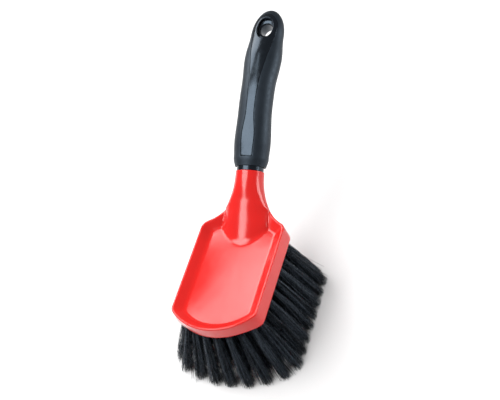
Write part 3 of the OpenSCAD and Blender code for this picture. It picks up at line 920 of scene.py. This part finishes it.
def build_panel(layout, material):
    """The glossy panel: a closed slab with rounded edges and an oval mouth"""
    shape = GripShape(layout)
    g = layout.handle
    strip_rows, outer = panel_plan(layout, shape)
    verts, faces = [], []
    sink = 0.00015
    thick = 0.0022
    cols = len(strip_rows[0]) - 1

    def add(points, drop):
        sinks = [sink + drop + shape.panel_sink(s, y) for s, y in points]
        surface = [shape.surface(s, y, low) for (s, y), low in zip(points, sinks)]
        return add_row(verts, [layout.place(p) for p in surface])

    tops = [add(row, 0.0) for row in strip_rows]
    for a, b in zip(tops, tops[1:]):
        faces += strip(a, b)
    first = list(reversed(tops[-1])) + add(outer[cols + 1 :], 0.0)
    n = len(outer)
    hang, half_length, half_width = layout.hang, g.mouth_half_length, g.mouth_half_width
    mouth = []
    for s, y in outer:
        a = math.atan2(y / half_width, (s - hang) / half_length)
        mouth.append((hang + half_length * math.cos(a), half_width * math.sin(a)))
    previous = first
    for t in (0.15, 0.35, 0.55, 0.75, 1.0):
        ring = []
        for o, m in zip(outer, mouth):
            away = Vector((m[0] - hang, m[1])).normalized() * 0.0009
            target = (m[0] + away[0], m[1] + away[1])
            ring.append((mix(o[0], target[0], t), mix(o[1], target[1], t)))
        row = add(ring, 0.0)
        faces += strip(previous, row, loop=True)
        previous = row
    lip = ((0.00055, 0.00006), (0.00028, 0.00022), (0.0001, 0.0005), (0, 0.0009), (0, thick))
    for out, drop in lip:
        ring = []
        for m in mouth:
            away = Vector((m[0] - hang, m[1])).normalized() * out
            ring.append((m[0] + away[0], m[1] + away[1]))
        row = add(ring, drop)
        faces += strip(previous, row, loop=True)
        previous = row
    mouth_foot = previous
    # the outer edge, rounded over and down
    left = [row[0] for row in strip_rows[:-1]]
    right = [row[-1] for row in reversed(strip_rows[:-1])]
    outline_points = [*right, *reversed(strip_rows[0][1:-1]), *left, *outer[cols:], outer[0]]
    number = {}
    for row, points in zip(tops, strip_rows):
        for v, p in zip(row, points):
            number[p] = v
    for v, p in zip(first, outer):
        number.setdefault(p, v)
    outline = [number[p] for p in outline_points]
    previous = outline
    m = len(outline_points)
    sign = side_sign(outline_points)
    lip = ((0.00012, 0.00004), (0.00026, 0.00014), (0.00036, 0.0003), (0.0004, 0.0006), (0.0004, thick))
    for out, drop in lip:
        ring = []
        for i, p in enumerate(outline_points):
            a, b = outline_points[i - 1], outline_points[(i + 1) % m]
            across = Vector((b[1] - a[1], a[0] - b[0]))
            across = across.normalized() if across.length > 0 else Vector((0, 0))
            ring.append((p[0] + across[0] * out * sign, p[1] + across[1] * out * sign))
        row = add(ring, drop)
        faces += strip(previous, row, loop=True)
        previous = row
    outline_foot = previous
    # the underside repeats the top, thick below it
    under = {}

    def below(point, known=None):
        if known is not None:
            return known
        if point not in under:
            (under[point],) = add([point], thick)
        return under[point]

    foot_of = dict(zip(outline_points, outline_foot))
    for a, b in zip(strip_rows, strip_rows[1:]):
        for k in range(cols):
            quad = [a[k], a[k + 1], b[k + 1], b[k]]
            faces.append(tuple(below(p, foot_of.get(p)) for p in quad))
    for i in range(n):
        j = (i + 1) % n
        edge = [below(outer[k], foot_of.get(outer[k])) for k in (i, j)]
        faces.append((*edge, mouth_foot[j], mouth_foot[i]))
    return mesh_object("panel", verts, faces, material, 50)


def side_sign(points):
    """1 if a closed loop of (s, y) points runs anticlockwise, else -1"""
    area = sum(a[0] * b[1] - b[0] * a[1] for a, b in zip(points, points[1:] + points[:1]))
    return 1.0 if area > 0 else -1.0


def build_boss(layout, material):
    """The tube through the handle at the hang hole: an oval mouth above a ledge, and a round bore"""
    g = layout.handle
    shape = GripShape(layout)
    top = shape.halves(layout.hang)[1]
    mouth = (g.mouth_half_length + 0.00005, g.mouth_half_width + 0.00005)
    bore = g.hang_radius
    low = -top * 0.93
    profile = [
        (*mouth, top - 0.0024), (*mouth, top - 0.0046),
        (mouth[0] - 0.0002, mouth[1] - 0.0002, top - 0.0052),
        (mouth[0] - 0.0008, mouth[1] - 0.0003, top - 0.0055),
        (bore + 0.0004, bore + 0.0004, top - 0.0056), (bore + 0.0001, bore + 0.0001, top - 0.0058),
        (bore, bore, top - 0.0062), (bore, bore, low + 0.0009),
        (bore + 0.0003, bore + 0.0003, low + 0.0002),
        (bore + 0.0009, bore + 0.0009, low), (g.boss_radius - 0.0006, g.boss_radius - 0.0006, low),
        (g.boss_radius, g.boss_radius, low + 0.0006), (g.boss_radius, g.boss_radius, 0.0),
        (mouth[0] + 0.0014, g.boss_radius, 0.0012), (mouth[0] + 0.0014, g.boss_radius, top - 0.0044),
        (mouth[0] + 0.0004, mouth[1] + 0.0004, top - 0.0030),
    ]
    verts, faces, rows = [], [], []
    for a, b, up in profile:
        ring = [(a * math.cos(t), b * math.sin(t), up) for t in turns(ROUND_SIDES)]
        rows.append(add_row(verts, [layout.place(layout.tilted_at_hang(p)) for p in ring]))
    for a, b in zip(rows, rows[1:] + rows[:1]):
        faces += strip(a, b, loop=True)
    return mesh_object("boss", verts, faces, material, 40)


def build_shank(layout, material):
    """The collar and the spigot in the neck, turned about the handle's axis, and the shaft in the skin"""
    g = layout.handle
    shape = GripShape(layout)
    c, r = g.collar_length, g.collar_radius
    profile = [
        (-g.spigot_length, g.spigot_radius - 0.0008),
        (-g.spigot_length + 0.0008, g.spigot_radius), (-0.0005, g.spigot_radius),
        (0.00005, g.spigot_radius),
        (0.00005, r - 0.0003), (0.00035, r), (c - 0.0003, r), (c, r - 0.0003),
    ]
    verts, faces, rows = [], [], []

    def add_ring(s, w, h):
        ring = [layout.on_handle(s, w * math.cos(t), h * math.sin(t)) for t in turns(ROUND_SIDES)]
        rows.append(add_row(verts, [layout.place(p) for p in ring]))

    for s, radius in profile:
        add_ring(s, radius, radius)
    inset = g.skin + 0.0001
    round_end = g.length - g.skin - layout.tip
    stations = [c + 0.0001] + spaced(c + 0.002, layout.tip, 40)
    stations += [layout.tip + round_end * math.sin(math.radians(a)) for a in range(10, 89, 10)]
    for s in stations:
        nose = ellipse_drop(max(s - layout.tip, 0) / round_end)
        w = max((shape.swell(s / layout.tip, 1) * g.grip_width / 2 - inset) * nose, 0.0003)
        h = max((shape.swell(s / layout.tip, 2) * g.grip_height / 2 - inset - 0.0004) * nose, 0.0003)
        add_ring(s, w, h)
    for a, b in zip(rows, rows[1:]):
        faces += strip(a, b, loop=True)
    faces += [tuple(rows[0]), tuple(rows[-1])]
    shank = mesh_object("shank", verts, faces, material, 40)
    drill = lathe_cylinder(layout, g.boss_radius + 0.0003, -0.03, 0.03)
    apply_modifier(shank, "BOOLEAN", object=drill, operation="DIFFERENCE", solver="EXACT")
    bpy.data.objects.remove(drill)
    return shank


# ---------------------------------------------------------------- bristles


class TuftPlan:
    """Where each tuft is rooted and how it leans"""

    def __init__(self, layout):
        self.at = layout
        self.h, self.b = layout.head, layout.bristles

    def lean(self, p):
        b, h = self.b, self.h
        mid = (h.side_end + b.block_tail) / 2
        u = (p[0] - mid) / mid
        v = p[1] / self.at.half
        ease = 0.6 + 0.4 * min(p[0] / (0.4 * mid), 1)
        along = u * math.tan(b.lean_front if u < 0 else b.lean_rear)
        return along, v * ease * math.tan(b.lean_side) * 1.15

    def on_line(self, a, b):
        n = max(int(math.dist(a, b) / self.b.pitch + 0.5), 1)
        shares = [(i + 0.5) / n for i in range(n)]
        return [(mix(a[0], b[0], t), mix(a[1], b[1], t)) for t in shares]

    def on_front(self, inset):
        r = self.h.front_radius - inset
        reach = math.asin(min((self.at.half - inset) / r, 1))
        n = max(int(2 * reach * r / self.b.pitch + 0.5), 1)
        angles = [math.pi - reach + 2 * reach * (i + 0.5) / n for i in range(n)]
        return [(self.h.front_radius + r * math.cos(a), r * math.sin(a)) for a in angles]

    def shoulder_line(self):
        h, turn = self.h, self.h.shoulder_turn
        x = h.side_end + h.shoulder_radius * math.sin(turn)
        y = self.at.half - h.shoulder_radius * (1 - math.cos(turn))
        return math.sin(turn) * x + math.cos(turn) * y

    def shoulder_corner(self, inset):
        turn, y = self.h.shoulder_turn, self.at.half - inset
        return (self.shoulder_line() - inset - math.cos(turn) * y) / math.sin(turn), y

    def shoulder_y(self, inset, x):
        turn = self.h.shoulder_turn
        y = (self.shoulder_line() - inset - math.sin(turn) * x) / math.cos(turn)
        return max(y, self.b.pitch / 2)

    def side_stop(self, inset):
        """Where a side's line stops: at the shoulder, or at the rear line if that comes first"""
        x, y = self.shoulder_corner(inset)
        return min(x, self.at.block_end - inset), y

    def on_side(self, inset):
        y, r = self.at.half - inset, self.h.front_radius - inset
        start = (self.h.front_radius - math.sqrt(max(r * r - y * y, 0)), y)
        return self.on_line(start, self.side_stop(inset))

    def on_rear(self, inset):
        x = self.at.block_end - inset
        a = self.side_stop(inset)
        b = (x, min(self.shoulder_y(inset, x), a[1]))
        shoulder = self.on_line(a, b) if math.dist(a, b) > self.b.pitch * 0.6 else []
        mirrored = [(p[0], -p[1]) for p in shoulder]
        return shoulder + self.on_line(b, (x, -b[1])) + mirrored

    def group(self, ring, side):
        inset = self.b.inset + ring * self.at.ring_gap
        if side == "front":
            return self.on_front(inset)
        if side == "rear":
            return self.on_rear(inset)
        roots = self.on_side(inset)
        return roots if side == "right" else [(p[0], -p[1]) for p in roots]

    def centre_row(self):
        inset = self.b.inset + 3 * self.at.ring_gap
        return self.on_line((inset, 0), (self.at.block_end - inset, 0))


def clamp_to_box(p, margin=0.0004):
    low, high = CAD_BOX
    return tuple(min(max(p[i], low[i] + margin), high[i] - margin) for i in range(3))


def filament(rng, plan, root, verts, faces):
    """One tapered, slightly curved three-sided filament of the tuft at root"""
    b, at = plan.b, plan.at
    slope = plan.lean(root)
    turn = rng.uniform(0, 2 * math.pi)
    share = math.sqrt(rng.random())
    bottom = -plan.h.height
    flare = b.tip_radius / b.root_radius * rng.uniform(0.75, 1.3)
    wander = [rng.gauss(0, 0.0011), rng.gauss(0, 0.0011)]
    bow = [rng.gauss(0, 0.0006), rng.gauss(0, 0.0006)]
    if rng.random() < b.stray:
        wander = [rng.gauss(0, 0.003), rng.gauss(0, 0.003)]
        bow = [rng.gauss(0, 0.0015), rng.gauss(0, 0.0015)]
    short = abs(rng.gauss(0, 0.0018))
    if rng.random() < 0.1:
        short = rng.uniform(0.001, 0.006)
    offset = [b.root_radius * share * math.cos(turn), b.root_radius * share * math.sin(turn)]
    radius = b.filament * rng.uniform(0.85, 1.15)
    rings = []
    first_turn = rng.uniform(0, 2 * math.pi)
    for t in (-0.04, 0.12, 0.36, 0.62, 0.84, 1.0):
        down = t * (b.length - short)
        grow = mix(1.0, flare, max(t, 0) ** 1.15)
        curve = math.sin(math.pi * max(t, 0))
        x = root[0] + slope[0] * down + offset[0] * grow + wander[0] * max(t, 0) + bow[0] * curve
        y = root[1] + slope[1] * down + offset[1] * grow + wander[1] * max(t, 0) + bow[1] * curve
        r = radius * (1.0 if t < 0.9 else 0.8)
        ring = []
        for k in range(3):
            a = first_turn + 2 * math.pi * k / 3
            p = at.place((x + r * math.cos(a), y + r * math.sin(a), bottom - down))
            verts.append(clamp_to_box(p))
            ring.append(len(verts) - 1)
        rings.append(ring)
    for lower, upper in zip(rings, rings[1:]):
        faces += strip(upper, lower, loop=True)
    faces.append(tuple(rings[0]))
    faces.append(tuple(reversed(rings[-1])))


def build_tufts(plan, name, roots, material):
    rng = random.Random(f"{plan.b.seed} {name}")
    verts, faces, painted_sheen_and_shade_values = [], [], []
    for root in roots:
        # painted sheen and painted shade: a random value per filament, shifted per tuft, sets how lit
        # each filament looks
        lock = rng.uniform(-0.12, 0.12)
        for _ in range(plan.b.count):
            before = len(verts)
            filament(rng, plan, root, verts, faces)
            painted_sheen_and_shade_values += [rng.uniform(0.1, 0.9) + lock] * (len(verts) - before)
    mesh = bpy.data.meshes.new(name)
    mesh.from_pydata(verts, [], faces)
    mesh.update()
    mesh.shade_smooth()
    mesh.attributes.new("painted_sheen_and_shade", "FLOAT", "POINT").data.foreach_set("value", painted_sheen_and_shade_values)
    made = bpy.data.objects.new(name, mesh)
    bpy.context.collection.objects.link(made)
    mesh.materials.append(material)
    return made


# ---------------------------------------------------------------- operators


class BRUSH_OT_head(bpy.types.Operator):
    """Models the dished head with its neck"""

    bl_idname = "brush.head"
    bl_label = "Head"

    def execute(self, context):
        layout = Layout(context.scene)
        head = build_head(layout, material_red(context.scene.brush_colours))
        head.name = "head"
        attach(head, "root")
        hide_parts("head_body")
        return {"FINISHED"}


class BRUSH_OT_sleeve(bpy.types.Operator):
    """Models the soft skin of the grip"""

    bl_idname = "brush.sleeve"
    bl_label = "Grip skin"

    def execute(self, context):
        layout = Layout(context.scene)
        sleeve = build_sleeve(layout, material_grip(context.scene.brush_colours))
        sleeve.name = "grip_skin"
        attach(sleeve, "root")
        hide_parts("grip_sleeve")
        return {"FINISHED"}


class BRUSH_OT_core(bpy.types.Operator):
    """Models the hard core: spigot, collar, shaft, glossy panel and the hang hole's tube"""

    bl_idname = "brush.core"
    bl_label = "Handle core"

    def execute(self, context):
        layout = Layout(context.scene)
        material = material_core(context.scene.brush_colours)
        pieces = [f(layout, material) for f in (build_panel, build_boss, build_shank)]
        core = joined("core", pieces)
        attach(core, "root")
        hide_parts("handle_core")
        return {"FINISHED"}


class BRUSH_OT_bristles(bpy.types.Operator):
    """Models each group of tufts out of single filaments"""

    bl_idname = "brush.bristles"
    bl_label = "Bristles"

    def execute(self, context):
        layout = Layout(context.scene)
        plan = TuftPlan(layout)
        material = material_bristle(context.scene.brush_colours)
        groups = {"centre_row": plan.centre_row()}
        for ring, ring_name in enumerate(RINGS):
            for side in SIDES:
                groups[f"{ring_name}_{side}"] = plan.group(ring, side)
        for name, roots in groups.items():
            made = build_tufts(plan, f"bristles_{name}", roots, material)
            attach(made, "root")
            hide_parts(f"tufts_{name}")
        return {"FINISHED"}


class BRUSH_OT_staples(bpy.types.Operator):
    """Gives the anchor staples their steel"""

    bl_idname = "brush.staples"
    bl_label = "Staples"

    def execute(self, context):
        material = material_staple(context.scene.brush_colours)
        for name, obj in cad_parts.items():
            if name.startswith("staples_"):
                obj.data.materials.clear()
                obj.data.materials.append(material)
        return {"FINISHED"}


class BRUSH_OT_stage(bpy.types.Operator):
    """Adds the floor, the soft lights and the camera"""

    bl_idname = "brush.stage"
    bl_label = "Stage"

    def execute(self, context):
        scene = context.scene
        bpy.ops.object.select_all(action="DESELECT")
        bpy.ops.mesh.primitive_plane_add(size=8, location=(0, 0, 0))
        floor = context.view_layer.objects.active
        floor.name = "floor"
        floor.data.materials.append(material_floor(scene.brush_colours))
        world = bpy.data.worlds.new("studio")
        scene.world = world
        world.use_nodes = True
        world.node_tree.nodes["Background"].inputs["Color"].default_value = (1, 1, 1, 1)
        world.node_tree.nodes["Background"].inputs["Strength"].default_value = WORLD_STRENGTH
        for name, place, size, power in LIGHTS:
            light = bpy.data.lights.new(name, "AREA")
            light.shape = "RECTANGLE"
            light.size, light.size_y = size
            light.energy = power
            lamp = bpy.data.objects.new(name, light)
            context.collection.objects.link(lamp)
            lamp.location = place
            aim = LIGHT_TARGET - Vector(place)
            lamp.rotation_euler = aim.to_track_quat("-Z", "Y").to_euler()
        data = bpy.data.cameras.new("camera")
        data.sensor_width = SENSOR_WIDTH
        data.lens = FOCAL_SHARE * SENSOR_WIDTH
        data.clip_start, data.clip_end = 0.05, 20
        camera = bpy.data.objects.new("camera", data)
        context.collection.objects.link(camera)
        right, up, back = (axis * way for axis, way in zip(CAMERA_AXES, CAMERA_OFFSET))
        camera.location = CAMERA_FROM + right + up + back
        camera.rotation_mode = "QUATERNION"
        turn = Matrix(CAMERA_AXES).transposed()
        camera.rotation_quaternion = turn.to_quaternion()
        scene.camera = camera
        scene.view_settings.view_transform = "Standard"
        return {"FINISHED"}


class BRUSH_PT_panel(bpy.types.Panel):
    """Sizes, colours and build steps of the wheel brush"""

    bl_idname = "BRUSH_PT_panel"
    bl_label = "Wheel brush"
    bl_space_type = "VIEW_3D"
    bl_region_type = "UI"
    bl_category = "Wheel brush"

    def draw(self, context):
        layout, scene = self.layout, context.scene
        for group in (getattr(scene, name) for name in GROUPS):
            box = layout.box()
            for name in group.bl_rna.properties.keys():
                if name not in ("rna_type", "name"):
                    box.prop(group, name)
        for step in STEPS:
            layout.operator(step.bl_idname)


STEPS = (
    BRUSH_OT_head, BRUSH_OT_sleeve, BRUSH_OT_core, BRUSH_OT_bristles, BRUSH_OT_staples, BRUSH_OT_stage,
)
GROUPS = {
    "brush_head": BrushHeadSizes,
    "brush_handle": BrushHandleSizes,
    "brush_bristles": BrushBristleSizes,
    "brush_colours": BrushColours,
}


def register():
    for cls in (*GROUPS.values(), *STEPS, BRUSH_PT_panel):
        bpy.utils.register_class(cls)
    for name, cls in GROUPS.items():
        setattr(bpy.types.Scene, name, bpy.props.PointerProperty(type=cls))


def unregister():
    for name in GROUPS:
        delattr(bpy.types.Scene, name)
    for cls in reversed((*GROUPS.values(), *STEPS, BRUSH_PT_panel)):
        bpy.utils.unregister_class(cls)


def main():
    register()
    bpy.ops.brush.head()
    bpy.ops.brush.sleeve()
    bpy.ops.brush.core()
    bpy.ops.brush.bristles()
    bpy.ops.brush.staples()
    bpy.ops.brush.stage()


if __name__ == "__main__":
    main()
